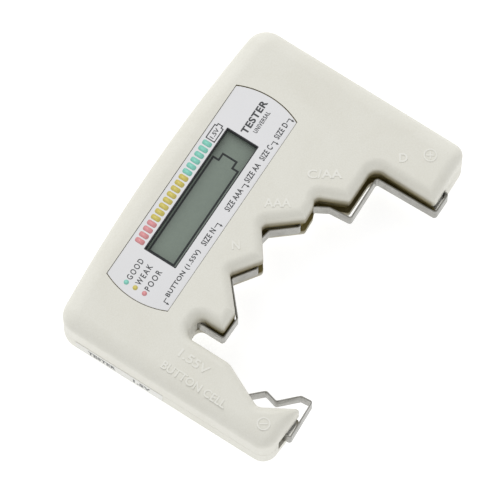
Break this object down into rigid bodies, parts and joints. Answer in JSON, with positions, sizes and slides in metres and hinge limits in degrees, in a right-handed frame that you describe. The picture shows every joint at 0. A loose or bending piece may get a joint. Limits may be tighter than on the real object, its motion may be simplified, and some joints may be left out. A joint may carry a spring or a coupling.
{
  "type": "battery tester",
  "caption": "Hand-held battery tester: upside-down U body with a sprung negative contact, stepped positive contact strips, and a liquid-crystal window in a face label.",
  "frame": {"origin": "middle of the object's footprint, on the back face that it lies on", "axes": "+X along the label's reading direction, from the left arm to the right arm; +Y from the arm tips to the bowed top edge; +Z out of the face"},
  "size_m": [0.0953, 0.0682, 0.018],
  "materials": {
    "ivory_abs": "fine satin texture",
    "label_film": "light grey printed film, satin",
    "paper_label": "white printed film",
    "polariser_film": "grey-green film",
    "display_glass": "clear thin glass",
    "reflector_film": "matt grey-green foil",
    "white_plastic": "satin",
    "dark_rubber": "matt",
    "board_green": "solder resist",
    "black_epoxy": "smooth",
    "resistor_body": "lacquered",
    "ferrite": "matt",
    "capacitor_sleeve": "shrink sleeve",
    "diode_glass": "glass bead",
    "nickel_plate": "satin nickel plating",
    "zinc_steel": "bright zinc",
    "red_pvc": "insulation",
    "black_pvc": "insulation"
  },
  "bodies": {
    "tester_body": {"front_shell": "ivory_abs", "rear_shell": "ivory_abs", "face_label": "label_film", "side_label": "paper_label", "display_front_polariser": "polariser_film", "display_front_glass": "display_glass", "display_rear_glass": "display_glass", "display_reflector": "reflector_film", "display_frame": "white_plastic", "upper_elastomer_strip": "dark_rubber", "lower_elastomer_strip": "dark_rubber", "circuit_board": "board_green", "controller_blob": "black_epoxy", "load_resistors": "resistor_body", "boost_inductor": "ferrite", "capacitors": "capacitor_sleeve", "rectifier_diode": "diode_glass", "switching_transistor": "black_epoxy", "board_screws": "zinc_steel", "case_screws": "zinc_steel", "aaa_positive_strip": "nickel_plate", "small_positive_strip": "nickel_plate", "button_negative_plate": "nickel_plate", "solder_tags": "nickel_plate", "red_leads": "red_pvc", "black_leads": "black_pvc"},
    "spring": {"negative_spring": "nickel_plate"},
    "long_strip": {"long_positive_strip": "nickel_plate"}
  },
  "joints": [
    {"name": "spring_squeeze", "type": "hinge", "parent": "tester_body", "child": "spring", "pos_m": [-0.0415, -0.0156, 0.009], "axis": [0, 0, -1], "range_deg": [0, 8.5], "stiffness_Nm_per_rad": 0.4},
    {"name": "long_strip_flex", "type": "hinge", "parent": "tester_body", "child": "long_strip", "pos_m": [0.0377, -0.0266, 0.009], "axis": [0, 0, -1], "range_deg": [0, 1.5], "stiffness_Nm_per_rad": 0.6}
  ]
}
